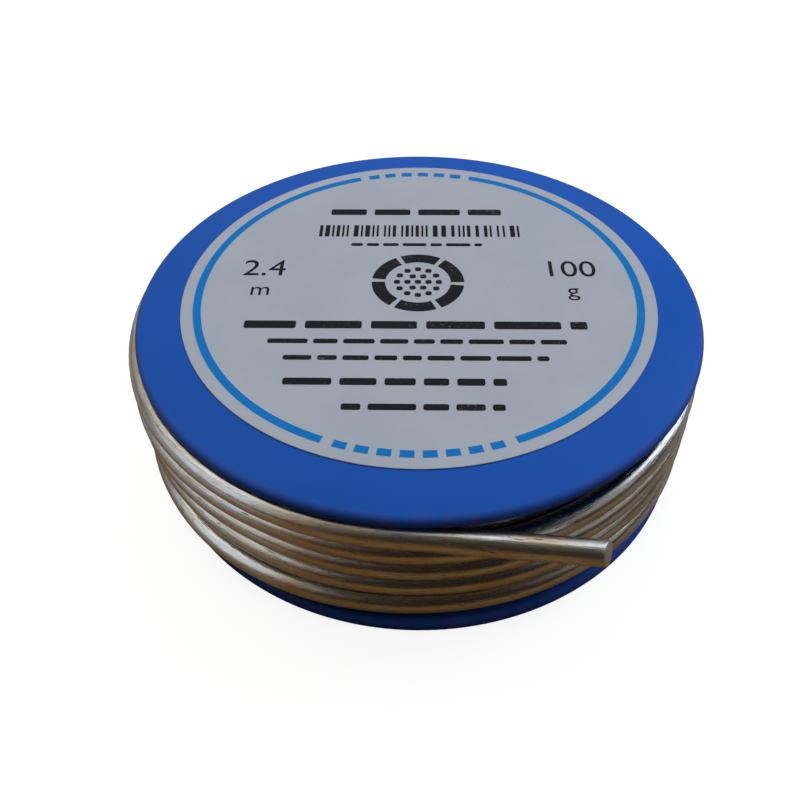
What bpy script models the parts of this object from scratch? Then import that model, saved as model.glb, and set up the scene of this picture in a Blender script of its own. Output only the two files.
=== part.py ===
"""A spool of solder wire: two plastic mouldings, a paper label and one long wire.

The upper moulding is a flange with the drum, the arbor tube and the hub ribs in one piece.
The lower flange snaps into the open end of the drum with a beaded collar.
The wire fills the space between the flanges. Its inner layers are a plain ring, its outer
layer is one unbroken tube, and its free end leaves the front of the spool on a tangent.
The origin is on the spool's axis in the plane that the lower flange stands on, with +Z up.
"""

import math

import bpy
from mathutils import Vector

MM = 0.001

# Sizes that can be set by themselves
FLANGE_DIAMETER = 66.0 * MM
FLANGE_THICKNESS = 2.4 * MM
TRAVERSE_WIDTH = 16.2 * MM
RIM_RADIUS = 1.1 * MM
CROWN_RISE = 0.4 * MM
WINDING_DEPTH = 8.0 * MM
DRUM_WALL = 1.6 * MM
HUB_ROOF = 2.0 * MM
BORE_DIAMETER = 11.0 * MM
ARBOR_WALL = 1.5 * MM
RIB_COUNT = 4
RIB_THICKNESS = 1.2 * MM
COLLAR_HEIGHT = 4.0 * MM
COLLAR_WALL = 1.4 * MM
COLLAR_CHAMFER = 0.5 * MM
BEAD_HEIGHT = 0.5 * MM
LABEL_MARGIN = 5.4 * MM
LABEL_THICKNESS = 0.1 * MM
WIRE_DIAMETER = 2.7 * MM
LAST_TURN_BULGE = 0.85 * MM
FREE_END_LENGTH = 20.6 * MM
FREE_END_CURL_RADIUS = 400.0 * MM

# Clearances
FIT_GAP = 0.3 * MM
LABEL_GAP = 0.05 * MM
TURN_GAP = 0.45 * MM

# Where the wire's outer layer starts, steps up from turn to turn and leaves the spool,
# as angles seen from above, anticlockwise from +X
LAYER_START = math.radians(100.0)
STEP_START = math.radians(10.0)
STEP_END = math.radians(80.0)
LEAVE_ANGLE = math.radians(265.0)
BULGE_START = math.radians(60.0)
BULGE_END = math.radians(180.0)

# Fineness of the round shapes
ROUND_STEPS = 72
FILLET_STEPS = 4
CROWN_STEPS = 3
POINTS_PER_TURN = 24
FREE_END_POINTS = 5
MERGE_DISTANCE = 0.01 * MM

# Largest share of a flange's thickness that the rounding of one edge takes
RIM_SHARE = 0.46

# Heights and radii worked out from the sizes above
FLANGE_RADIUS = FLANGE_DIAMETER / 2
UPPER_FACE = FLANGE_THICKNESS + TRAVERSE_WIDTH
RIM_TOP = UPPER_FACE + FLANGE_THICKNESS
LABEL_SEAT = RIM_TOP + CROWN_RISE
RIM_FILLET = min(RIM_RADIUS, RIM_SHARE * FLANGE_THICKNESS)
LABEL_RADIUS = FLANGE_RADIUS - LABEL_MARGIN
SEAT_RADIUS = LABEL_RADIUS + FIT_GAP
DRUM_RADIUS = FLANGE_RADIUS - WINDING_DEPTH
DRUM_INSIDE = DRUM_RADIUS - DRUM_WALL
DRUM_END = FLANGE_THICKNESS + FIT_GAP
HUB_CEILING = LABEL_SEAT - HUB_ROOF
BORE_RADIUS = BORE_DIAMETER / 2
ARBOR_RADIUS = BORE_RADIUS + ARBOR_WALL
COLLAR_RADIUS = DRUM_INSIDE - FIT_GAP
COLLAR_TOP = FLANGE_THICKNESS + COLLAR_HEIGHT
COLLAR_INSIDE = COLLAR_RADIUS - COLLAR_WALL
BEAD_MIDDLE = FLANGE_THICKNESS + COLLAR_HEIGHT / 2
RIB_END = COLLAR_TOP + FIT_GAP
WIRE_RADIUS = WIRE_DIAMETER / 2
LAYER_RADIUS = FLANGE_RADIUS - WIRE_RADIUS
CHORD_DIP = LAYER_RADIUS * (1 - math.cos(math.pi / POINTS_PER_TURN))
CORE_RADIUS = LAYER_RADIUS - CHORD_DIP - WIRE_RADIUS - FIT_GAP
WINDING_WIDTH = TRAVERSE_WIDTH - 2 * FIT_GAP
TURNS_ABREAST = int((WINDING_WIDTH + TURN_GAP) / (WIRE_DIAMETER + TURN_GAP))
TURN_PITCH = (WINDING_WIDTH - WIRE_DIAMETER) / (TURNS_ABREAST - 1)
FIRST_TURN_HEIGHT = FLANGE_THICKNESS + FIT_GAP + WIRE_RADIUS
FULL_TURN = 2 * math.pi
LAYER_END = LEAVE_ANGLE + (TURNS_ABREAST - 1) * FULL_TURN


def clear_scene():
    """Remove every object that the file starts with."""
    for old in list(bpy.data.objects):
        bpy.data.objects.remove(old, do_unlink=True)


def new_collection(name):
    """Add a collection to the scene."""
    collection = bpy.data.collections.new(name)
    bpy.context.scene.collection.children.link(collection)
    return collection


def finish(name, colour, roughness, metallic):
    """Make a material with one Principled BSDF."""
    material = bpy.data.materials.new(name)
    material.use_nodes = True
    shader = material.node_tree.nodes["Principled BSDF"]
    shader.inputs["Base Color"].default_value = (*colour, 1.0)
    shader.inputs["Roughness"].default_value = roughness
    shader.inputs["Metallic"].default_value = metallic
    return material


def place(part, collection, material, parent):
    """Put a new object into the spool."""
    collection.objects.link(part)
    part.data.materials.append(material)
    part.parent = parent
    return part


def arc(centre, radius, start, end, steps=FILLET_STEPS):
    """Points on an arc in a turned profile, with angles in degrees from +X."""
    points = []
    for step in range(steps + 1):
        angle = math.radians(start + (end - start) * step / steps)
        points.append((centre[0] + radius * math.cos(angle), centre[1] + radius * math.sin(angle)))
    return points


def turned(name, profile, closed):
    """Turn a profile of radius and height round the Z axis with a Screw modifier."""
    mesh = bpy.data.meshes.new(name)
    corners = [(radius, 0.0, height) for radius, height in profile]
    edges = [(index, index + 1) for index in range(len(corners) - 1)]
    if closed:
        edges.append((len(corners) - 1, 0))
    mesh.from_pydata(corners, edges, [])
    part = bpy.data.objects.new(name, mesh)
    screw = part.modifiers.new("turn", "SCREW")
    screw.axis = "Z"
    screw.angle = FULL_TURN
    screw.steps = ROUND_STEPS
    screw.render_steps = ROUND_STEPS
    screw.use_merge_vertices = True
    screw.merge_threshold = MERGE_DISTANCE
    screw.use_smooth_shade = True
    return part


def crown_points():
    """The top flange falls smoothly from the label's seat to its rim."""
    points = []
    for step in range(1, CROWN_STEPS):
        share = step / CROWN_STEPS
        radius = SEAT_RADIUS + (FLANGE_RADIUS - RIM_FILLET - SEAT_RADIUS) * share
        points.append((radius, LABEL_SEAT - CROWN_RISE * share * share))
    return points


def upper_profile():
    """Half section of the upper moulding, from the middle of its top to the bore's blind end."""
    rim = FLANGE_RADIUS - RIM_FILLET
    groove = DRUM_INSIDE + BEAD_HEIGHT
    profile = [(0.0, LABEL_SEAT), (SEAT_RADIUS, LABEL_SEAT)]
    profile += crown_points()
    profile += arc((rim, RIM_TOP - RIM_FILLET), RIM_FILLET, 90, 0)
    profile += arc((rim, UPPER_FACE + RIM_FILLET), RIM_FILLET, 0, -90)
    profile += [
        (DRUM_RADIUS, UPPER_FACE),
        (DRUM_RADIUS, DRUM_END),
        (DRUM_INSIDE, DRUM_END),
        (DRUM_INSIDE, BEAD_MIDDLE - BEAD_HEIGHT),
        (groove, BEAD_MIDDLE),
        (DRUM_INSIDE, BEAD_MIDDLE + BEAD_HEIGHT),
        (DRUM_INSIDE, HUB_CEILING),
        (ARBOR_RADIUS, HUB_CEILING),
        (ARBOR_RADIUS, FIT_GAP),
        (BORE_RADIUS, FIT_GAP),
        (BORE_RADIUS, HUB_CEILING),
        (0.0, HUB_CEILING),
    ]
    return profile


def hub_rib(name, angle):
    """One rib between the arbor tube and the drum, sunk into both and into the hub's roof."""
    sink = min(ARBOR_WALL, DRUM_WALL, HUB_ROOF) / 2
    inner = ARBOR_RADIUS - sink
    outer = DRUM_INSIDE + sink
    top = HUB_CEILING + sink
    middle = (inner + outer) / 2
    bpy.ops.mesh.primitive_cube_add(
        size=1.0,
        location=(middle * math.cos(angle), middle * math.sin(angle), (RIB_END + top) / 2),
        rotation=(0.0, 0.0, angle),
        scale=(outer - inner, RIB_THICKNESS, top - RIB_END),
    )
    rib = bpy.context.object
    rib.name = name
    rib.hide_render = True
    rib.display_type = "WIRE"
    return rib


def upper_moulding(shapes):
    """Flange, drum, arbor tube and ribs, moulded in one piece and open below."""
    part = turned("upper_flange_and_drum", upper_profile(), closed=False)
    for index in range(RIB_COUNT):
        angle = FULL_TURN * (index + 0.5) / RIB_COUNT
        rib = hub_rib(f"rib_shape_{index + 1}", angle)
        for holder in list(rib.users_collection):
            holder.objects.unlink(rib)
        shapes.objects.link(rib)
        union = part.modifiers.new(f"rib {index + 1}", "BOOLEAN")
        union.operation = "UNION"
        union.object = rib
    return part


def lower_flange():
    """Ring flange with a beaded collar that snaps into the drum."""
    rim = FLANGE_RADIUS - RIM_FILLET
    profile = arc((rim, FLANGE_THICKNESS - RIM_FILLET), RIM_FILLET, 90, 0)
    profile += arc((rim, RIM_FILLET), RIM_FILLET, 0, -90)
    profile += [
        (COLLAR_INSIDE, 0.0),
        (COLLAR_INSIDE, COLLAR_TOP),
        (COLLAR_RADIUS - COLLAR_CHAMFER, COLLAR_TOP),
        (COLLAR_RADIUS, COLLAR_TOP - COLLAR_CHAMFER),
        (COLLAR_RADIUS, BEAD_MIDDLE + BEAD_HEIGHT),
        (COLLAR_RADIUS + BEAD_HEIGHT, BEAD_MIDDLE),
        (COLLAR_RADIUS, BEAD_MIDDLE - BEAD_HEIGHT),
        (COLLAR_RADIUS, FLANGE_THICKNESS),
    ]
    return turned("lower_flange", profile, closed=True)


def label():
    """Round paper label on the seat of the upper flange."""
    bottom = LABEL_SEAT + LABEL_GAP
    profile = [
        (0.0, bottom + LABEL_THICKNESS),
        (LABEL_RADIUS, bottom + LABEL_THICKNESS),
        (LABEL_RADIUS, bottom),
        (0.0, bottom),
    ]
    return turned("paper_label", profile, closed=False)


def wire_inner_layers():
    """The layers of wire under the outer one, as a plain ring on the drum."""
    inside = DRUM_RADIUS + FIT_GAP
    low = FLANGE_THICKNESS + FIT_GAP
    high = UPPER_FACE - FIT_GAP
    profile = [(CORE_RADIUS, high), (CORE_RADIUS, low), (inside, low), (inside, high)]
    return turned("solder_inner_layers", profile, closed=True)


def ease(share):
    """Smooth step from 0 to 1."""
    share = min(max(share, 0.0), 1.0)
    return share * share * (3 - 2 * share)


def winding_point(angle):
    """Middle of the wire in the outer layer: level turns that step up at the back of the spool."""
    turn, rest = divmod(angle, FULL_TURN)
    step = turn - 1 + ease((rest - STEP_START) / (STEP_END - STEP_START))
    height = FIRST_TURN_HEIGHT + TURN_PITCH * max(step, 0.0)
    last_turn = (TURNS_ABREAST - 1) * FULL_TURN
    bulge = LAST_TURN_BULGE * ease((angle - last_turn - BULGE_START) / (BULGE_END - BULGE_START))
    radius = LAYER_RADIUS + bulge
    return Vector((radius * math.cos(angle), radius * math.sin(angle), height))


def tangent(angle):
    """Direction of the wire at an angle, level and square to the radius."""
    return Vector((-math.sin(angle), math.cos(angle), 0.0))


def winding_route():
    """The outer layer's points, with a straight end of one wire diameter at each side."""
    count = round((LAYER_END - LAYER_START) / FULL_TURN * POINTS_PER_TURN)
    turns = []
    for index in range(count + 1):
        turns.append(winding_point(LAYER_START + (LAYER_END - LAYER_START) * index / count))
    first = turns[0] - tangent(LAYER_START) * WIRE_DIAMETER
    last = turns[-1] + tangent(LAYER_END) * WIRE_DIAMETER
    return [first, *turns, last]


def free_end_route():
    """The free end goes on from the outer layer on its tangent and curls a little inwards."""
    leave = winding_point(LAYER_END)
    along = tangent(LAYER_END)
    inwards = Vector((-leave.x, -leave.y, 0.0)).normalized()
    start = WIRE_DIAMETER + FIT_GAP
    points = []
    for index in range(FREE_END_POINTS):
        reach = start + (FREE_END_LENGTH - start) * index / (FREE_END_POINTS - 1)
        curl = (reach - start) ** 2 / (2 * FREE_END_CURL_RADIUS)
        points.append(leave + along * reach + inwards * curl)
    return points


def wire_tube(name, points, resolution):
    """A round wire along a line of points."""
    curve = bpy.data.curves.new(name, "CURVE")
    curve.dimensions = "3D"
    curve.bevel_depth = WIRE_RADIUS
    curve.bevel_resolution = resolution
    curve.use_fill_caps = True
    spline = curve.splines.new("POLY")
    spline.points.add(len(points) - 1)
    for point, place_on_line in zip(spline.points, points):
        point.co = (*place_on_line, 1.0)
    return bpy.data.objects.new(name, curve)


def distance_to_stretch(point, start, end):
    """Distance from a point to the straight line between two others."""
    line = end - start
    share = min(max((point - start).dot(line) / line.length_squared, 0.0), 1.0)
    return (point - (start + line * share)).length


def least_gap(route):
    """Smallest gap between stretches of the winding that are half a turn or more apart."""
    apart = POINTS_PER_TURN // 2
    gaps = []
    for index, point in enumerate(route):
        for other in range(index + apart, len(route) - 1):
            gaps.append(distance_to_stretch(point, route[other], route[other + 1]))
    return min(gaps) - WIRE_DIAMETER


def build():
    """Make every piece of the spool."""
    clear_scene()
    pieces = new_collection("solder_wire_spool")
    shapes = new_collection("joining_shapes")
    spool = bpy.data.objects.new("spool_axis", None)
    pieces.objects.link(spool)

    blue_plastic = finish("blue_plastic", (0.012, 0.076, 0.356), 0.42, 0.0)
    paper = finish("label_paper", (0.55, 0.58, 0.62), 0.6, 0.0)
    solder = finish("solder", (0.62, 0.60, 0.56), 0.28, 1.0)

    place(upper_moulding(shapes), pieces, blue_plastic, spool)
    place(lower_flange(), pieces, blue_plastic, spool)
    place(label(), pieces, paper, spool)
    place(wire_inner_layers(), pieces, solder, spool)
    winding = winding_route()
    place(wire_tube("solder_outer_winding", winding, 1), pieces, solder, spool)
    place(wire_tube("solder_free_end", free_end_route(), 2), pieces, solder, spool)
    print(f"turns side by side: {TURNS_ABREAST}, pitch {TURN_PITCH / MM:.3f} mm")
    print(f"least gap of the winding to itself: {least_gap(winding) / MM:.3f} mm")


build()
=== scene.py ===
# %% [markdown]
# # A spool of solder wire
# A flat plastic spool holds a length of thick solder wire. Two round flanges sit on a hollow drum,
# a round paper label covers the upper flange, and the wire's free end sticks out at the front.
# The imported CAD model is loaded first, because every piece below is made in its frame, in metres.

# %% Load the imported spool
import math
import random

import bpy
from mathutils import Matrix, Vector


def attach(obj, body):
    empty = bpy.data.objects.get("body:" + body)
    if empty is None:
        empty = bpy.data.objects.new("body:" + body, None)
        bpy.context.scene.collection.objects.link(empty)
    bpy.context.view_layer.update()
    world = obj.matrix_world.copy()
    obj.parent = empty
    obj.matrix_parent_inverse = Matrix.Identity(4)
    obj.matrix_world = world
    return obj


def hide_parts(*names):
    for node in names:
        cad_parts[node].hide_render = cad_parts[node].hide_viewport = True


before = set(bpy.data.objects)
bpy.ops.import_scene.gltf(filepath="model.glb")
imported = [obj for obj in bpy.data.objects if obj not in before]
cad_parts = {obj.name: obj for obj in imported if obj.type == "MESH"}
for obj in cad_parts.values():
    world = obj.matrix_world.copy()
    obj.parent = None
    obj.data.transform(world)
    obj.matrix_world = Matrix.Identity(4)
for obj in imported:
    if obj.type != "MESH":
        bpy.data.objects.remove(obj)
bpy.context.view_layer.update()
MM = 0.001

# %% [markdown]
# ## The camera
# The view is a close one from the front, about 45 degrees down, so the flange's far side looks
# clearly smaller than its near side. A camera could be aimed with a constraint, but a plain matrix
# keeps its slight tilt as well: its columns are the picture's right, its up and the way back.

# %% Camera
EYE = Vector((0.0, -80.149, 83.839)) * MM
PICTURE_RIGHT = Vector((0.99978, 0.01886, -0.00956))
PICTURE_UP = Vector((-0.00666, 0.71, 0.70417))
LENS = 38.459


def deselect():
    """Nothing selected, so that the next operator acts only on what it adds."""
    bpy.ops.object.select_all(action="DESELECT")


deselect()
bpy.ops.object.camera_add(location=EYE)
camera = bpy.context.object
backwards = PICTURE_RIGHT.cross(PICTURE_UP)
turn = Matrix((PICTURE_RIGHT, PICTURE_UP, backwards)).transposed()
camera.matrix_world = Matrix.Translation(EYE) @ turn.to_4x4()
camera.data.lens = LENS
camera.data.sensor_width = 36.0
camera.data.clip_start = 5 * MM
bpy.context.scene.camera = camera
print("camera looks along", [round(x, 3) for x in -backwards])

# %% [markdown]
# ## The route of the wire
# The wire is one length of about 2.4 m, wound from the drum outwards in three layers. Soft solder
# is stiff enough to spring a little, so the outer turns stand off the layer below, most of all at
# the left. Each turn runs level round the front and steps up to the next place at the back.
# The route could be drawn by hand, but a small table of heights and one of stand-offs, eased from
# row to row, says the same in numbers that can be changed. Angles are in degrees round the axis,
# counted on from turn to turn, and sizes are in millimetres.

# %% Heights and radii of the turns
WIRE_RADIUS = 1.31 * MM
FIRST_ANGLE = -2912
TOP_CROSSING = (-1470, -1400)
BOTTOM_CROSSING = (40, 110)
LEAVE_ANGLE = 1705
STEP_ANGLE = 3
LOW_TURN = 4.1
HIGH_TURN = 17.0
LAYER_RADII = [
    (TOP_CROSSING[0], 26.4), (TOP_CROSSING[1], 29.08),
    (BOTTOM_CROSSING[0], 29.08), (BOTTOM_CROSSING[1], 31.65),
]
STAND_OFF = [
    (110, 0.6), (180, 1.15), (224, 1.2), (278, 0.45), (318, 0.42),
    (445, 0.6), (540, 1.2), (563, 0.98), (605, 0.6), (635, 0.42), (678, 0.38),
    (805, 0.6), (900, 1.28), (927, 1.12), (965, 0.5), (995, 0.42), (1038, 0.34),
    (1165, 0.6), (1260, 1.36), (1288, 1.28), (1326, 0.52), (1355, 0.42), (1398, 0.28),
    (1525, 0.7), (1610, 1.4), (1642, 1.24), (1680, 0.96), (1705, 0.94),
]
WAVER = 0.025
SLOW_WAVE = 0.031
QUICK_WAVE = 0.083
TURN_HEIGHTS = [
    (40, 4.1), (170, 5.5), (330, 5.7), (450, 9.0), (690, 9.1), (810, 11.7),
    (1050, 11.78), (1170, 14.38), (1350, 14.45), (1550, 17.25), (1650, 17.55), (1705, 17.62),
]


def ease(share):
    """Smooth step from 0 to 1."""
    share = min(max(share, 0.0), 1.0)
    return share * share * (3 - 2 * share)


def eased(angle, table):
    """Value at an angle, level at each row of the table and smooth between rows."""
    for (before, low), (after, high) in zip(table, table[1:]):
        if angle <= after:
            return low + (high - low) * ease((angle - before) / (after - before))
    return table[-1][1]


print("outer layer:", len(TURN_HEIGHTS), "heights,", len(STAND_OFF), "stand-offs")

# %% [markdown]
# ## Points along the wire
# The two inner layers are plain screws, up and down again. The outer layer follows the tables.
# After the last turn the wire leaves on its tangent. A stiff cut end keeps a little of its curl and
# droops by about a millimetre, so two small square terms are added to a straight line, which is
# simpler than a bend drawn point by point.

# %% Points along the wire
FREE_END = 21.0
FREE_END_CURL = 260.0
FREE_END_DROOP = 180.0
FREE_END_STEPS = 16
CUT_ALLOWANCE = 1.6


def wire_height(angle):
    """Height of the wire's middle in millimetres."""
    if angle < TOP_CROSSING[0]:
        share = (angle - FIRST_ANGLE) / (TOP_CROSSING[0] - FIRST_ANGLE)
        return LOW_TURN + (HIGH_TURN - LOW_TURN) * share
    if angle < BOTTOM_CROSSING[0]:
        share = (angle - TOP_CROSSING[0]) / (BOTTOM_CROSSING[0] - TOP_CROSSING[0])
        return HIGH_TURN - (HIGH_TURN - LOW_TURN) * share
    return eased(angle, TURN_HEIGHTS)


def wire_point(angle):
    """Middle of the wire at an angle, in metres."""
    outer = ease((angle - BOTTOM_CROSSING[0]) / (BOTTOM_CROSSING[1] - BOTTOM_CROSSING[0]))
    waver = WAVER * (math.sin(angle * SLOW_WAVE) + math.sin(angle * QUICK_WAVE + 1.0))
    radius = eased(angle, LAYER_RADII) + outer * (eased(angle, STAND_OFF) + waver)
    way = math.radians(angle)
    return Vector((radius * math.cos(way), radius * math.sin(way), wire_height(angle))) * MM


route = [wire_point(angle) for angle in range(FIRST_ANGLE, LEAVE_ANGLE, STEP_ANGLE)]
leave = wire_point(LEAVE_ANGLE)
leave_way = math.radians(LEAVE_ANGLE)
tangent = Vector((-math.sin(leave_way), math.cos(leave_way), 0.0))
inwards = Vector((-math.cos(leave_way), -math.sin(leave_way), 0.0))


def free_end_point(reach):
    """Middle of the free end so many millimetres past the last turn: it curls in and droops."""
    bend = inwards / (2 * FREE_END_CURL) - Vector((0.0, 0.0, 1.0)) / (2 * FREE_END_DROOP)
    return leave + (tangent * reach + bend * reach * reach) * MM


for step in range(FREE_END_STEPS + 1):
    route.append(free_end_point((FREE_END + CUT_ALLOWANCE) * step / FREE_END_STEPS))
route_length = sum((b - a).length for a, b in zip(route, route[1:]))
print("wire:", len(route), "points,", round(route_length, 4), "m")

# %% [markdown]
# ## The wire
# A curve with a round bevel is the usual way to draw wire. It is then made a mesh, because the
# snipped tip has to be cut, and because the mesh keeps the curve's own UV map, which runs along
# the wire and round it. The drawn surface of the solder needs that map later.

# %% Wire as a tube
WIRE_ROUNDNESS = 10
MERGE_DISTANCE = 1e-7


def make_active(piece):
    """Select one object and make it the active one."""
    deselect()
    piece.select_set(True)
    bpy.context.view_layer.objects.active = piece


line = bpy.data.curves.new("solder_wire", "CURVE")
line.dimensions = "3D"
line.twist_mode = "Z_UP"
line.bevel_depth = WIRE_RADIUS
line.bevel_resolution = WIRE_ROUNDNESS
line.use_fill_caps = True
spline = line.splines.new("POLY")
spline.points.add(len(route) - 1)
for point, middle in zip(spline.points, route):
    point.co = (*middle, 1.0)
wire = bpy.data.objects.new("solder_wire", line)
bpy.context.scene.collection.objects.link(wire)
make_active(wire)
bpy.ops.object.convert(target="MESH")
wire = bpy.context.object
bpy.ops.object.mode_set(mode="EDIT")
bpy.ops.mesh.select_all(action="SELECT")
bpy.ops.mesh.remove_doubles(threshold=MERGE_DISTANCE)
bpy.ops.object.mode_set(mode="OBJECT")
print("wire tube:", len(wire.data.polygons), "faces")

# %% [markdown]
# ## The snipped tip
# Side cutters leave a slanting face with soft edges on the free end. A Boolean with a slanted box
# could cut it, but a bisect needs no second object. It cuts all that is selected, so only the faces
# of the last few millimetres are chosen. The new face is the only one there with many corners, which
# is how it is found again when its rim is bevelled.

# %% Snip the free end
TIP_REGION = 4.2
SNIP_NORMAL = Vector((0.897, -0.36, 0.256)).normalized()
SNIP_BEVEL = 0.2 * MM
MANY_CORNERS = 8
WIRE_SMOOTHING = 35


def select_faces(piece, test):
    """In object mode, leave selected only the faces that pass the test."""
    for vertex in piece.data.vertices:
        vertex.select = False
    for edge in piece.data.edges:
        edge.select = False
    for face in piece.data.polygons:
        face.select = test(face)


tip = free_end_point(FREE_END)


def near_tip(face):
    """True for a face on the last few millimetres of the free end."""
    return (face.center - tip).length < TIP_REGION * MM


bpy.context.tool_settings.mesh_select_mode = (False, False, True)
select_faces(wire, near_tip)
bpy.ops.object.mode_set(mode="EDIT")
bpy.ops.mesh.bisect(plane_co=tip, plane_no=SNIP_NORMAL, use_fill=True, clear_outer=True)
bpy.ops.object.mode_set(mode="OBJECT")
select_faces(wire, lambda face: len(face.vertices) > MANY_CORNERS and near_tip(face))
bpy.ops.object.mode_set(mode="EDIT")
bpy.ops.mesh.bevel(offset=SNIP_BEVEL, segments=2, affect="EDGES")
bpy.ops.object.mode_set(mode="OBJECT")
bpy.ops.object.shade_smooth_by_angle(angle=math.radians(WIRE_SMOOTHING))
print("tip at", [round(x / MM, 1) for x in tip], "faces now", len(wire.data.polygons))

# %% [markdown]
# The wire stands for the three CAD nodes that hold its place in the collision model.

kept = [point for point in route[-FREE_END_STEPS - 1:] if (point - tip).dot(tangent) < 0]
route = [*route[:-FREE_END_STEPS - 1], *kept, tip]
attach(wire, "root")
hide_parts("solder_inner_layers", "solder_outer_winding", "solder_free_end")
print("declared wire of", len(route), "points")

# %% [markdown]
# ## Node sums as Python
# A material is a small sum of noises and masks. Written node by node it takes pages, so this class
# wraps one socket and lets Python's operators add the Math nodes. Every other node comes from its
# one method, which takes the node's type, then its settings, then the values or links it is given.


# %% A socket that can be added and multiplied
class Field:
    """One output socket of a material. A sum with it adds a Math node."""

    def __init__(self, tree, socket):
        self.tree = tree
        self.socket = socket

    def node(self, kind, settings=None, values=None, out=0):
        """Add a node, set it up, give its inputs their values or links, return one output."""
        made = self.tree.nodes.new(kind)
        for name, value in (settings or {}).items():
            setattr(made, name, value)
        for name, value in (values or {}).items():
            if isinstance(value, Field):
                self.tree.links.new(value.socket, made.inputs[name])
            else:
                made.inputs[name].default_value = value
        return Field(self.tree, made.outputs[out] if made.outputs else None)

    def math(self, operation, first, second):
        """A Math node on two values."""
        return self.node("ShaderNodeMath", {"operation": operation}, {0: first, 1: second})

    def __add__(self, other):
        return self.math("ADD", self, other)

    def __radd__(self, other):
        return self.math("ADD", other, self)

    def __sub__(self, other):
        return self.math("SUBTRACT", self, other)

    def __rsub__(self, other):
        return self.math("SUBTRACT", other, self)

    def __mul__(self, other):
        return self.math("MULTIPLY", self, other)

    def __rmul__(self, other):
        return self.math("MULTIPLY", other, self)


# %% [markdown]
# ## Words for finishes
# A few more words are shared by all finishes: the start of a material, a noise, coordinates that are
# stretched, a soft threshold, a blend of two colours, a bump, and the last step that joins the
# surface to the material's output.


# %% Words for finishes
def new_finish(name):
    """A new material and the piece's Object coordinates in it."""
    material = bpy.data.materials.new(name)
    material.use_nodes = True
    material.node_tree.nodes.clear()
    start = Field(material.node_tree, None)
    return material, start.node("ShaderNodeTexCoord", out="Object")


def noise(place, scale, detail, roughness=0.5):
    """Cloudy noise from 0 to 1, with so many clouds to the metre."""
    return place.node("ShaderNodeTexNoise", None, {
        "Vector": place, "Scale": scale, "Detail": detail, "Roughness": roughness})


def stretched(place, scale, turn):
    """Coordinates with their own scale along each axis, turned about Z."""
    return place.node("ShaderNodeMapping", {"vector_type": "POINT"}, {
        "Vector": place, "Scale": scale, "Rotation": (0.0, 0.0, turn)})


def soft_step(field, low, high):
    """0 below low, 1 above high, smooth between them."""
    return field.node("ShaderNodeMapRange", {"interpolation_type": "SMOOTHSTEP"}, {
        "Value": field, "From Min": low, "From Max": high})


def blend(share, first, second):
    """One colour where share is 0 and another where it is 1."""
    return share.node("ShaderNodeMix", {"data_type": "RGBA"}, {0: share, 6: first, 7: second}, out=2)


def bumped(height, distance, strength):
    """A normal from a height."""
    return height.node("ShaderNodeBump", None, {
        "Height": height, "Distance": distance, "Strength": strength})


def complete(place, sockets):
    """Join a Principled surface to the material's output."""
    surface = place.node("ShaderNodeBsdfPrincipled", None, sockets)
    place.node("ShaderNodeOutputMaterial", None, {"Surface": surface})


# %% [markdown]
# ## Solder
# Fresh solder wire is a bright, slightly warm metal. The die it was drawn through leaves fine lines
# along it, handling leaves dull patches and smears, and turns that rubbed together leave small dark
# nicks and pits. The free end is touched most, so it is a little duller. All of these follow the
# wire, so the pattern is laid out on a cylinder: round the wire by the sine and cosine of its angle,
# which closes without a seam, and along the wire by its length. The surface is anisotropic, because
# the fine lines spread a highlight more one way than the other.

# %% Solder
HANDLED_FROM = 45 * MM
HANDLED_ALL = 15 * MM
solder, place = new_finish("drawn_solder")
wire_map = place.node("ShaderNodeUVMap", {"uv_map": "UVMap"})
along = wire_map.node("ShaderNodeSeparateXYZ", None, {0: wire_map}, out=0) * route_length
around = wire_map.node("ShaderNodeSeparateXYZ", None, {0: wire_map}, out=1) * math.tau
sideways = around.math("COSINE", around, 0.0)
upwards = around.math("SINE", around, 0.0)


def on_wire(round_scale, along_scale):
    """A place on the wire's skin, with its own scale round the wire and along it."""
    return along.node("ShaderNodeCombineXYZ", None, {
        0: sideways * round_scale, 1: upwards * round_scale, 2: along * along_scale})


draw_lines = noise(on_wire(11.0, 110.0), 1.0, 3.0)
dents = noise(on_wire(1.3, 340.0), 1.0, 2.0)
patches = noise(on_wire(1.3, 190.0), 1.0, 3.0, 0.6)
nicks = soft_step(noise(on_wire(5.6, 560.0), 1.0, 2.0), 0.66, 0.74)
smears = soft_step(noise(on_wire(5.5, 260.0), 1.0, 2.0), 0.58, 0.7)
pits = soft_step(noise(on_wire(8.0, 1700.0), 1.0, 2.0), 0.6, 0.72)
handled = soft_step(along, route_length - HANDLED_FROM, route_length - HANDLED_ALL)
metal = blend(soft_step(patches, 0.35, 0.68), (0.67, 0.685, 0.69, 1.0), (0.60, 0.525, 0.40, 1.0))
metal = blend(smears * 0.45, metal, (0.34, 0.29, 0.23, 1.0))
metal = blend(pits * 0.45, metal, (0.25, 0.21, 0.17, 1.0))
metal = blend(nicks * 0.6, metal, (0.07, 0.06, 0.055, 1.0))
complete(place, {
    "Base Color": metal,
    "Metallic": 1.0,
    "Roughness": 0.14 + patches * 0.16 + draw_lines * 0.12 + nicks * 0.2 + handled * 0.1,
    "Anisotropic": 0.5,
    "Normal": bumped(dents + draw_lines * 0.3 - nicks * 0.3, 0.1 * MM, 0.6),
})
wire.data.materials.clear()
wire.data.materials.append(solder)
print("solder:", len(solder.node_tree.nodes), "nodes")
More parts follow.
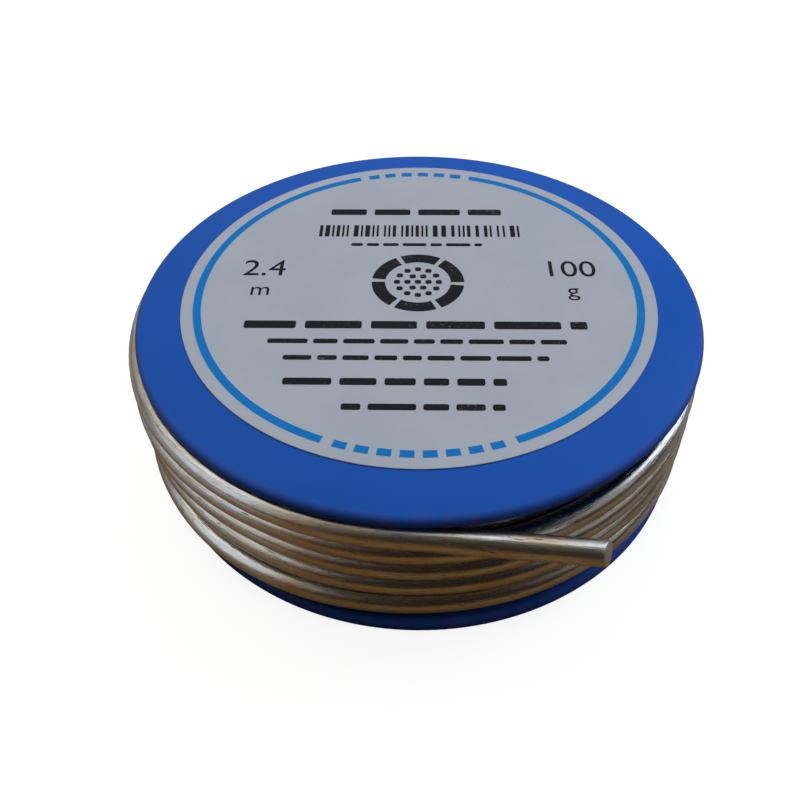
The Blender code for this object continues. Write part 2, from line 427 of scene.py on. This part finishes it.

# %% [markdown]
# ## Blue plastic
# The mouldings are satin blue polystyrene. Close up the face has a very fine grain, slow clouds
# from the flow of the melt, a few hairline scratches, and rims that are rubbed a little paler. The
# rim's colour is also redder than the plastic, which is a painted reflection of warm surroundings.
# Each is a noise of its own scale, mixed in weakly, because strong marks would read as dirt. How
# far a point is from the axis tells where the rim is.

# %% Blue plastic
# The band at the rim is partly rubbed wear and partly painted reflection. It starts here and is full at
# the edge.
RIM_WEAR_AND_REFLECTION_FROM = 31.9 * MM
RIM_WEAR_AND_REFLECTION_ALL = 32.9 * MM
blue, place = new_finish("blue_plastic")
grain = noise(place, 2600.0, 2.0)
flow = noise(place, 55.0, 2.0)
hairs = soft_step(noise(stretched(place, (260.0, 9000.0, 260.0), 0.5), 1.0, 1.0), 0.77, 0.82)
cross_hairs = soft_step(noise(stretched(place, (210.0, 8000.0, 210.0), -0.9), 1.0, 1.0), 0.78, 0.83)
flat_place = place.node("ShaderNodeVectorMath", {"operation": "MULTIPLY"}, {
    0: place, 1: (1.0, 1.0, 0.0)})
reach = place.node("ShaderNodeVectorMath", {"operation": "LENGTH"}, {0: flat_place}, out="Value")
uneven = soft_step(noise(place, 420.0, 3.0), 0.42, 0.7)
# Rim mask: partly rubbed wear, and partly a painted reflection of warm surroundings in the rim.
rim_wear_and_reflection = soft_step(reach, RIM_WEAR_AND_REFLECTION_FROM, RIM_WEAR_AND_REFLECTION_ALL) * (0.3 + 0.7 * uneven)
plastic = blend(soft_step(flow, 0.3, 0.7), (0.0125, 0.141, 0.715, 1.0), (0.0145, 0.153, 0.755, 1.0))
plastic = blend(hairs * 0.10 + cross_hairs * 0.08, plastic, (0.16, 0.27, 0.62, 1.0))
# Painted reflection: the rim turns paler and redder than the plastic, on top of its rubbed wear.
plastic = blend(rim_wear_and_reflection * 0.6, plastic, (0.12, 0.14, 0.62, 1.0))
complete(place, {
    "Base Color": plastic,
    "Roughness": 0.36 + flow * 0.08 + grain * 0.1 + rim_wear_and_reflection * 0.1,
    "Specular IOR Level": 0.10,
    "Normal": bumped(grain + hairs * 0.5, 0.012 * MM, 0.35),
})
print("blue plastic:", len(blue.node_tree.nodes), "nodes")

# %% [markdown]
# ## A turned piece
# Both mouldings and the label are round, so each is turned: half of its section is drawn by
# extruding one vertex from corner to corner, and a spin takes the section round the axis.
# Corners are rounded in the section itself, which gives even fillets that a bevel would have to
# guess at where several edges meet.

# %% A turned piece
ROUND_STEPS = 192
FILLET_STEPS = 6
SMOOTHING = 40


def rounded(corners):
    """Section corners (radius, height, fillet) in millimetres, each fillet as a short arc."""
    points = []
    for index, (radius, height, fillet) in enumerate(corners):
        here = Vector((radius, height))
        if not fillet:
            points.append(here)
            continue
        before = Vector(corners[index - 1][:2]) - here
        after = Vector(corners[(index + 1) % len(corners)][:2]) - here
        half = before.angle(after) / 2
        middle = here + (before.normalized() + after.normalized()).normalized() * fillet / math.sin(half)
        start = here + before.normalized() * fillet / math.tan(half) - middle
        end = here + after.normalized() * fillet / math.tan(half) - middle
        sweep = start.angle_signed(end)
        for step in range(FILLET_STEPS + 1):
            spoke = start.copy()
            spoke.rotate(Matrix.Rotation(-sweep * step / FILLET_STEPS, 2))
            points.append(middle + spoke)
    return points


def draw_section(name, points, closed):
    """A new object in edit mode: one vertex, extruded from point to point."""
    deselect()
    bpy.ops.mesh.primitive_plane_add(size=MM)
    piece = bpy.context.object
    piece.name = name
    piece.data.name = name
    bpy.ops.object.mode_set(mode="EDIT")
    bpy.context.tool_settings.mesh_select_mode = (True, False, False)
    bpy.ops.mesh.select_all(action="SELECT")
    bpy.ops.mesh.merge(type="CENTER")
    places = [Vector((radius, 0.0, height)) * MM for radius, height in points]
    bpy.ops.transform.translate(value=places[0])
    for here, there in zip(places, places[1:]):
        bpy.ops.mesh.extrude_vertices_move(TRANSFORM_OT_translate={"value": there - here})
    if closed:
        bpy.ops.mesh.extrude_vertices_move(TRANSFORM_OT_translate={"value": places[0] - places[-1]})
    bpy.ops.mesh.select_all(action="SELECT")
    bpy.ops.mesh.remove_doubles(threshold=MERGE_DISTANCE)
    return piece


def tidy_mesh():
    """Merge the edited mesh's doubles, turn its faces outwards, leave edit mode and shade it smooth."""
    bpy.ops.mesh.select_all(action="SELECT")
    bpy.ops.mesh.remove_doubles(threshold=MERGE_DISTANCE)
    bpy.ops.mesh.normals_make_consistent(inside=False)
    bpy.ops.object.mode_set(mode="OBJECT")
    bpy.ops.object.shade_smooth_by_angle(angle=math.radians(SMOOTHING))


def turned(name, points, closed):
    """A section taken all the way round the axis."""
    piece = draw_section(name, points, closed)
    bpy.ops.mesh.spin(steps=ROUND_STEPS, angle=math.tau, center=(0, 0, 0), axis=(0, 0, 1))
    tidy_mesh()
    print(name, "turned:", len(piece.data.polygons), "faces")
    return piece


def seat(piece, finish):
    """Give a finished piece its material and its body."""
    piece.data.materials.clear()
    piece.data.materials.append(finish)
    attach(piece, "root")


# %% [markdown]
# ## The upper moulding
# The upper flange, the drum and the arbor tube are one moulding, open below. The top falls a little
# from the label's seat to the rim, and the underside rises a little, so the rim fades softly into
# the dark under it. Cylinders joined by Booleans could make it, but one section keeps the walls
# even. It runs from the middle of the top, round the rim, down the drum, past the groove for the
# snap collar, and up again into the hub.

# %% Section of the upper moulding
FLANGE_RADIUS = 33.0
RIM_FILLET = 0.8
RIM_TAPER = 0.35
SEAT_RADIUS = 27.9
SEAT_HEIGHT = 21.4
SEAT_FILLET = 3.0
RIM_TOP = 20.45
UPPER_FACE = 18.6
DRUM_OUTER = 25.0
DRUM_INNER = 23.4
DRUM_BOTTOM = 2.7
SNAP_HEIGHT = 4.4
SNAP_DEPTH = 0.5
HUB_CEILING = 19.4
ARBOR_OUTER = 7.0
ARBOR_INNER = 5.5
ARBOR_BOTTOM = 0.3
upper_corners = [
    (0.0, SEAT_HEIGHT, 0),
    (SEAT_RADIUS, SEAT_HEIGHT, SEAT_FILLET),
    (FLANGE_RADIUS, RIM_TOP, RIM_FILLET),
    (FLANGE_RADIUS, UPPER_FACE + RIM_TAPER, RIM_FILLET),
    (DRUM_OUTER, UPPER_FACE, 0.5),
    (DRUM_OUTER, DRUM_BOTTOM, 0.3),
    (DRUM_INNER, DRUM_BOTTOM, 0.3),
    (DRUM_INNER, SNAP_HEIGHT - SNAP_DEPTH, 0.1),
    (DRUM_INNER + SNAP_DEPTH, SNAP_HEIGHT, 0.1),
    (DRUM_INNER, SNAP_HEIGHT + SNAP_DEPTH, 0.1),
    (DRUM_INNER, HUB_CEILING, 0.6),
    (ARBOR_OUTER, HUB_CEILING, 0.6),
    (ARBOR_OUTER, ARBOR_BOTTOM, 0.25),
    (ARBOR_INNER, ARBOR_BOTTOM, 0.25),
    (ARBOR_INNER, HUB_CEILING, 0.3),
    (0.0, HUB_CEILING, 0),
]
upper = turned("upper_moulding", rounded(upper_corners), closed=False)

# %% [markdown]
# ## Ribs in the hub
# Four thin ribs tie the arbor tube to the drum, as in most moulded bobbins. One rib is made from a
# cube whose lower edges are bevelled, copied three times with its own mesh, and joined to the
# moulding with a Boolean, so the hub stays one closed skin.

# %% Ribs in the hub
RIB = {"inner": 6.2, "outer": 24.2, "bottom": 6.7, "top": 20.2, "thickness": 1.2, "bevel": 0.25}
RIB_COUNT = 4
FIRST_RIB = 45
POINTS_DOWN = -0.9
deselect()
bpy.ops.mesh.primitive_cube_add(size=1.0)
rib = bpy.context.object
rib.name = "rib_shape"
rib.scale = Vector((RIB["outer"] - RIB["inner"], RIB["thickness"], RIB["top"] - RIB["bottom"])) * MM
rib.location = Vector(((RIB["outer"] + RIB["inner"]) / 2, 0.0, (RIB["top"] + RIB["bottom"]) / 2)) * MM
bpy.ops.object.transform_apply(location=True, rotation=True, scale=True)
bpy.context.tool_settings.mesh_select_mode = (False, False, True)
select_faces(rib, lambda face: face.normal.z < POINTS_DOWN)
bpy.ops.object.mode_set(mode="EDIT")
bpy.ops.mesh.bevel(offset=RIB["bevel"] * MM, segments=3, affect="EDGES")
bpy.ops.object.mode_set(mode="OBJECT")
ribs = [rib]
for _ in range(RIB_COUNT - 1):
    make_active(rib)
    bpy.ops.object.duplicate(linked=False)
    ribs.append(bpy.context.object)
for index, shape in enumerate(ribs):
    make_active(shape)
    shape.rotation_euler.z = math.radians(FIRST_RIB + 360 / RIB_COUNT * index)
    bpy.ops.object.transform_apply(location=False, rotation=True, scale=False)
    make_active(upper)
    union = upper.modifiers.new("rib", "BOOLEAN")
    union.operation = "UNION"
    union.object = shape
    bpy.ops.object.modifier_apply(modifier=union.name)
    bpy.data.objects.remove(shape)
bpy.ops.object.mode_set(mode="EDIT")
tidy_mesh()
seat(upper, blue)
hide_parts("upper_flange_and_drum")
print("upper moulding with ribs:", len(upper.data.polygons), "faces")

# %% [markdown]
# ## The bottom flange
# The bottom flange is a ring with a beaded collar that snaps into the open end of the drum. The bead
# could be a torus joined to a tube, but in a turned section it lies at the height of the drum's
# groove by the same value, and the collar's lead-in costs one more corner.

# %% Bottom flange
BOTTOM_FACE = 2.4
FOOT_FILLET = 1.5
COLLAR_INNER = 21.7
COLLAR_OUTER = 23.1
COLLAR_TOP = 6.4
COLLAR_LEAD = 0.5
bottom = turned("bottom_flange", rounded([
    (COLLAR_INNER, 0.0, 0.3),
    (FLANGE_RADIUS, 0.0, FOOT_FILLET),
    (FLANGE_RADIUS, BOTTOM_FACE, RIM_FILLET),
    (COLLAR_OUTER, BOTTOM_FACE, 0.2),
    (COLLAR_OUTER, SNAP_HEIGHT - SNAP_DEPTH, 0.1),
    (COLLAR_OUTER + SNAP_DEPTH, SNAP_HEIGHT, 0.15),
    (COLLAR_OUTER, SNAP_HEIGHT + SNAP_DEPTH, 0.1),
    (COLLAR_OUTER, COLLAR_TOP - COLLAR_LEAD, 0.15),
    (COLLAR_OUTER - COLLAR_LEAD, COLLAR_TOP, 0.15),
    (COLLAR_INNER, COLLAR_TOP, 0.2),
]), closed=True)
seat(bottom, blue)
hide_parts("lower_flange")

# %% [markdown]
# ## Label paper
# The label is uncoated paper that has gone a little grey. It shows a fine tooth, faint fibres, slow
# smudges and a few specks, all weak, because the print has to stay the strongest thing on it.

# %% Label paper
paper, place = new_finish("label_paper")
tooth = noise(place, 3200.0, 3.0, 0.6)
fibres = noise(place, 1500.0, 4.0, 0.7)
smudges = noise(place, 95.0, 3.0, 0.6)
specks = soft_step(noise(place, 1300.0, 1.0), 0.77, 0.8)
sheet = blend(soft_step(smudges, 0.3, 0.72), (0.615, 0.68, 0.795, 1.0), (0.66, 0.72, 0.825, 1.0))
sheet = blend(soft_step(fibres, 0.45, 0.75) * 0.08, sheet, (0.46, 0.50, 0.57, 1.0))
sheet = blend(specks * 0.3, sheet, (0.22, 0.22, 0.23, 1.0))
complete(place, {
    "Base Color": sheet,
    "Roughness": 0.68 + tooth * 0.2,
    "Specular IOR Level": 0.25,
    "Normal": bumped(tooth + fibres * 0.6, 0.01 * MM, 0.4),
})
print("label paper:", len(paper.node_tree.nodes), "nodes")

# %% [markdown]
# ## The label
# A punched paper disc has a top edge that is pressed down slightly by the punch, so its section
# has a small round there and a square lower edge. A flat circle with Solidify would be sharp at
# both. Two more corners on the way out keep the long faces of the top from getting too thin.

# %% Label
LABEL_TOP = 21.55
LABEL_RADIUS = 27.6
LABEL_THICKNESS = 0.1
LABEL_LOOPS = (14.0, 27.0)
label = turned("label_disc", rounded([
    (0.0, LABEL_TOP, 0),
    (LABEL_LOOPS[0], LABEL_TOP, 0),
    (LABEL_LOOPS[1], LABEL_TOP, 0),
    (LABEL_RADIUS, LABEL_TOP, 0.05),
    (LABEL_RADIUS, LABEL_TOP - LABEL_THICKNESS, 0),
    (0.0, LABEL_TOP - LABEL_THICKNESS, 0),
]), closed=False)
seat(label, paper)
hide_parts("paper_label")

# %% [markdown]
# ## Printing inks
# The print is a light blue and a soft black. Ink on uncoated paper is never solid: the tooth shows
# through as tiny pale specks, more in some places than in others. One function makes both inks,
# because they differ only in their colours.


# %% Printing inks
def ink(name, full, dry):
    """Ink that lets the paper's tooth show through here and there."""
    material, place = new_finish(name)
    tooth = noise(place, 2600.0, 3.0, 0.65)
    clouds = noise(place, 160.0, 2.0)
    cover = soft_step(tooth * 0.7 + clouds * 0.3, 0.57, 0.7)
    complete(place, {
        "Base Color": blend(cover * 0.75, full, dry),
        "Roughness": 0.45 + tooth * 0.25,
        "Specular IOR Level": 0.12,
        "Normal": bumped(tooth, 0.008 * MM, 0.4),
    })
    print(name, len(material.node_tree.nodes), "nodes")
    return material


blue_ink = ink("light_blue_ink", (0.003, 0.275, 0.86, 1.0), (0.06, 0.36, 0.82, 1.0))
black_ink = ink("black_ink", (0.014, 0.015, 0.02, 1.0), (0.20, 0.215, 0.245, 1.0))

# %% [markdown]
# ## The printed ring
# A light blue line runs round the label, in two long arcs with short dashes between them. It could
# be a band of colour in the paper's finish, but a thin layer of its own has crisp edges. Each
# stretch is a small rectangle spun through a part of a turn, then closed at both ends.

# %% Printed ring
INK_LOW = LABEL_TOP - 0.03
INK_HIGH = LABEL_TOP + 0.02
RING = (25.27, 26.2)
LONG_ARCS = [(108.0, 140.5), (-67.6, 142.0)]
DASH_ARCS = [(77.1, 6), (-108.7, 8)]
DASH_SWEEP = 3.2
DASH_PITCH = 5.0
ARC_STEP = 1.5
LEAST_STEPS = 3


def arc_band(start, sweep, inner, outer):
    """A thin band of ink along a part of a circle, angles in degrees."""
    piece = draw_section("ink_band", [
        (inner, INK_LOW), (outer, INK_LOW), (outer, INK_HIGH), (inner, INK_HIGH)], closed=True)
    steps = max(LEAST_STEPS, round(sweep / ARC_STEP))
    bpy.ops.mesh.spin(steps=steps, angle=-math.radians(sweep), center=(0, 0, 0), axis=(0, 0, 1))
    bpy.ops.mesh.select_all(action="DESELECT")
    bpy.ops.mesh.select_non_manifold()
    bpy.ops.mesh.edge_face_add()
    bpy.ops.mesh.select_all(action="SELECT")
    bpy.ops.mesh.fill_holes(sides=4)
    tidy_mesh()
    piece.rotation_euler.z = math.radians(start)
    bpy.ops.object.transform_apply(location=False, rotation=True, scale=False)
    return piece


def join(pieces, name):
    """Join pieces into the first one."""
    deselect()
    for piece in pieces:
        piece.select_set(True)
    bpy.context.view_layer.objects.active = pieces[0]
    bpy.ops.object.join()
    pieces[0].name = name
    pieces[0].data.name = name
    return pieces[0]


bands = [arc_band(start, sweep, *RING) for start, sweep in LONG_ARCS]
for start, count in DASH_ARCS:
    for index in range(count):
        bands.append(arc_band(start + DASH_PITCH * index, DASH_SWEEP, *RING))
ring = join(bands, "label_ring_print")
seat(ring, blue_ink)
print("ring print:", len(bands), "stretches,", len(ring.data.polygons), "faces")

# %% [markdown]
# ## Printed marks
# Most of the black print is made of flat rectangles: a block of bars, rows of dashes, and rounds of
# dots. Each block is one mesh of planes, added in edit mode at their places, which is lighter than
# an object for every mark. Their corners may be rounded with a vertex bevel, and one extrusion
# gives all of them the thickness of a layer of ink.


# %% A block of printed marks
def printed(name, marks, rounding):
    """One mesh of flat marks (x, y, width, height) in millimetres, as thick as a layer of ink."""
    deselect()
    bpy.ops.mesh.primitive_plane_add(size=MM)
    piece = bpy.context.object
    piece.name = name
    piece.data.name = name
    bpy.ops.object.mode_set(mode="EDIT")
    bpy.context.tool_settings.mesh_select_mode = (True, False, False)
    bpy.ops.mesh.select_all(action="SELECT")
    bpy.ops.mesh.delete(type="VERT")
    for x, y, width, height in marks:
        middle = Vector((x, y, INK_LOW)) * MM
        bpy.ops.mesh.select_all(action="DESELECT")
        bpy.ops.mesh.primitive_plane_add(size=MM, location=middle)
        bpy.ops.transform.resize(value=(width, height, 1.0), center_override=middle)
    bpy.ops.mesh.select_all(action="SELECT")
    if rounding:
        bpy.ops.mesh.bevel(offset=rounding * MM, segments=3, affect="VERTICES")
    bpy.ops.mesh.select_all(action="SELECT")
    lift = Vector((0.0, 0.0, INK_HIGH - INK_LOW)) * MM
    bpy.ops.mesh.extrude_region_move(TRANSFORM_OT_translate={"value": lift})
    tidy_mesh()
    seat(piece, black_ink)
    print(name, len(marks), "marks,", len(piece.data.polygons), "faces")


# %% [markdown]
# ## Bars
# A block of upright bars of mixed widths. They could be listed one by one, but a seeded draw gives
# widths and gaps that look mixed and are the same in every run.

# %% Bars
draw = random.Random(7)
BAR_BLOCK = {"left": -12.6, "right": 12.6, "middle": 12.0, "height": 2.5}
BAR_WIDTHS = (0.26, 0.26, 0.42, 0.6)
BAR_GAPS = (0.3, 0.3, 0.48, 0.66)
bars = []
x = BAR_BLOCK["left"]
while x < BAR_BLOCK["right"]:
    width = draw.choice(BAR_WIDTHS)
    bars.append((x + width / 2, BAR_BLOCK["middle"], width, BAR_BLOCK["height"]))
    x += width + draw.choice(BAR_GAPS)
printed("label_bar_print", bars, 0.0)

# %% [markdown]
# ## Rows of dashes
# Each row of the table gives a left and a right end, a place up the label and a height. The same
# draw fills it with dashes of mixed lengths, which grow with the row's height, as their gaps do.

# %% Rows of dashes
ROWS = [
    (-11.4, 10.8, 16.3, 1.3),
    (-8.4, 8.0, 9.0, 0.6),
    (-19.6, 19.0, -6.5, 1.3),
    (-16.6, 16.4, -9.3, 0.75),
    (-14.6, 14.2, -12.0, 0.75),
    (-14.2, 9.4, -15.7, 1.05),
    (-7.8, 9.0, -19.4, 0.9),
]
ROW_DASH = (2.2, 6.2)
ROW_GAP = 0.8
MARK_ROUNDING = 0.25
dashes = []
for left, right, row, height in ROWS:
    x = left
    while x < right - height:
        length = min(draw.uniform(*ROW_DASH) * height, right - x)
        dashes.append((x + length / 2, row, length, height))
        x += length + ROW_GAP * height
printed("label_dash_print", dashes, MARK_ROUNDING)

# %% [markdown]
# ## A ring with dots
# In the middle is a heavy ring, broken into six stretches, with three rounds of dots inside it, a
# plain ornament. The ring uses the same spun stretches as the blue line and is then moved to its
# place, and the dots are a block of marks like the dashes.

# %% Ring with dots
ORNAMENT_MIDDLE = (0.0, 1.4)
HEAVY_RING = (3.9, 5.5)
STRETCHES = 6
STRETCH_SWEEP = 53.0
DOT_ROUNDS = [(0.0, 1), (1.25, 6), (2.5, 12)]
DOT_SIZE = 0.75
stretches = []
for index in range(STRETCHES):
    stretches.append(arc_band(360 / STRETCHES * index, STRETCH_SWEEP, *HEAVY_RING))
heavy_ring = join(stretches, "label_heavy_ring_print")
heavy_ring.location = Vector((*ORNAMENT_MIDDLE, 0.0)) * MM
bpy.ops.object.transform_apply(location=True, rotation=False, scale=False)
seat(heavy_ring, black_ink)
dots = []
for reach, count in DOT_ROUNDS:
    for index in range(count):
        way = math.tau * index / count
        x = ORNAMENT_MIDDLE[0] + reach * math.cos(way)
        y = ORNAMENT_MIDDLE[1] + reach * math.sin(way)
        dots.append((x, y, DOT_SIZE, DOT_SIZE))
printed("label_dot_print", dots, MARK_ROUNDING)

# %% [markdown]
# ## Quantities
# Two plain quantities are set at the sides: how much the spool holds by weight and by length.
# Text is a curve, so it is made a mesh first and its place is applied after that.

# %% Quantities
QUANTITIES = [
    ("2.4", -18.6, 2.6, 4.4),
    ("m", -18.6, -1.2, 3.3),
    ("100", 18.2, 2.6, 4.4),
    ("g", 18.2, -1.2, 3.3),
]
figures = []
for words, x, y, size in QUANTITIES:
    deselect()
    bpy.ops.object.text_add(location=Vector((x, y, (INK_LOW + INK_HIGH) / 2)) * MM)
    text = bpy.context.object
    text.data.body = words
    text.data.size = size * MM
    text.data.align_x = "CENTER"
    text.data.extrude = (INK_HIGH - INK_LOW) / 2 * MM
    bpy.ops.object.convert(target="MESH")
    bpy.ops.object.transform_apply(location=True, rotation=True, scale=True)
    bpy.ops.object.mode_set(mode="EDIT")
    tidy_mesh()
    figures.append(bpy.context.object)
figure_print = join(figures, "label_figure_print")
seat(figure_print, black_ink)
print("figures:", len(figure_print.data.polygons), "faces")

# %% [markdown]
# ## The floor
# The spool stands on a plain pale floor. A metal shows mostly what it mirrors, and a white floor
# would bleach the undersides of the wire. So the floor is kept out of reflections and out of the
# light that bounces back, and a brown board that only reflections see takes its place, with two
# paler patches of glare on it at the left and at the right.


# %% Floor and bench
def stage_plane(name, size, height, sockets):
    """A large flat piece of the stage."""
    deselect()
    bpy.ops.mesh.primitive_plane_add(size=size, location=(0.0, 0.0, height))
    plane = bpy.context.object
    plane.name = name
    material, place = new_finish(name)
    complete(place, sockets)
    plane.data.materials.append(material)
    return plane


BENCH_HEIGHT = 0.02 * MM
GLARE_HEIGHT = 0.05 * MM
floor = stage_plane("floor", 4.0, 0.0, {
    "Base Color": (0.32, 0.32, 0.32, 1.0), "Roughness": 0.9,
    "Emission Color": (1.0, 1.0, 1.0, 1.0), "Emission Strength": 0.89})
floor.visible_diffuse = False
floor.visible_glossy = False
bench = stage_plane("bench", 1.6, BENCH_HEIGHT, {
    "Base Color": (0.40, 0.225, 0.08, 1.0), "Roughness": 0.3})
GLARES = [
    ("left_glare", 0.30, (-0.21, 0.05), (0.28, 0.268, 0.295, 1.0)),
    ("right_glare", 0.24, (0.16, 0.02), (0.17, 0.14, 0.115, 1.0)),
]
mirrored = [bench]
for name, size, (x, y), glow in GLARES:
    glare = stage_plane(name, size, GLARE_HEIGHT, {
        "Base Color": (0.0, 0.0, 0.0, 1.0), "Emission Color": glow, "Emission Strength": 1.0})
    glare.location.x = x
    glare.location.y = y
    mirrored.append(glare)
for plane in mirrored:
    plane.visible_camera = False
    plane.visible_diffuse = False
    plane.visible_shadow = False
print("floor made, and", len(mirrored), "planes that only reflections see")

# %% [markdown]
# ## Light
# Each bright band along a wire is the mirror image of something bright, so the lights are large
# soft rectangles set where those bands ask for them. One hangs above, a little to the back, and
# others stand at the left, at the back and at the right. The room in front stays dark, which gives
# the wire its dark bands. The two lights at the left front are for reflections only. The fill light
# above the front would put a streak on the wire, so it is for the matt paper and plastic only.


# %% Light
SPOOL_MIDDLE = Vector((0.0, 0.0, 0.015))


def soft_light(name, place, width, height, power, colour):
    """A rectangular area light aimed at the spool."""
    deselect()
    bpy.ops.object.light_add(type="AREA", location=place)
    light = bpy.context.object
    light.name = name
    light.data.shape = "RECTANGLE"
    light.data.size = width
    light.data.size_y = height
    light.data.energy = power
    light.data.color = colour
    light.rotation_euler = (SPOOL_MIDDLE - Vector(place)).to_track_quat("-Z", "Y").to_euler()
    return light


LIGHTS = [
    ("ceiling_light", (-0.1, 0.28, 0.8), 1.4, 0.68, 3.4, (1.0, 0.98, 0.95)),
    ("fill_light", (0.0, -0.24, 0.7), 0.8, 0.22, 0.36, (0.95, 0.97, 1.0)),
    ("left_light", (-0.48, -0.12, 0.27), 0.43, 0.5, 0.64, (0.81, 0.91, 1.0)),
    ("left_corner_light", (-0.36, -0.35, 0.25), 0.2, 0.4, 0.055, (1.0, 0.45, 0.12)),
    ("left_wall_light", (-0.40, 0.34, 0.22), 0.4, 0.4, 0.2, (1.0, 0.95, 0.75)),
    ("right_light", (0.45, 0.2, 0.29), 0.26, 0.44, 0.9, (0.76, 0.88, 1.0)),
    ("right_wall_light", (0.46, -0.15, 0.30), 0.28, 0.3, 0.09, (1.0, 0.94, 0.86)),
    ("back_light", (0.0, 0.8, 0.36), 0.9, 0.26, 0.72, (0.9, 0.95, 1.0)),
]
GLOSS_ONLY = ("left_light", "left_corner_light")
MATT_ONLY = ("fill_light",)
for row in LIGHTS:
    lamp = soft_light(*row)
    lamp.visible_diffuse = row[0] not in GLOSS_ONLY
    lamp.visible_glossy = row[0] not in MATT_ONLY
print("lights:", len(LIGHTS))

# %% [markdown]
# ## The room
# The room itself is dim and a little warm. Only the camera sees it as pale, in the tone of the far
# end of the floor, so that views from the side show plain ground behind the spool with no edge. A
# backdrop could do the same, but it would be one more thing for the wire to mirror.

# %% Room
DIM_ROOM = (0.021, 0.014, 0.0105, 1.0)
FAR_FLOOR = (0.905, 0.905, 0.903, 1.0)
room = bpy.data.worlds.new("room")
room.use_nodes = True
room.node_tree.nodes.clear()
start = Field(room.node_tree, None)
seen = start.node("ShaderNodeLightPath", out="Is Camera Ray")
glow = blend(seen, DIM_ROOM, FAR_FLOOR)
background = start.node("ShaderNodeBackground", None, {"Color": glow, "Strength": 1.0})
start.node("ShaderNodeOutputWorld", None, {"Surface": background})
bpy.context.scene.world = room
bpy.context.scene.view_settings.view_transform = "Standard"
print("room made")
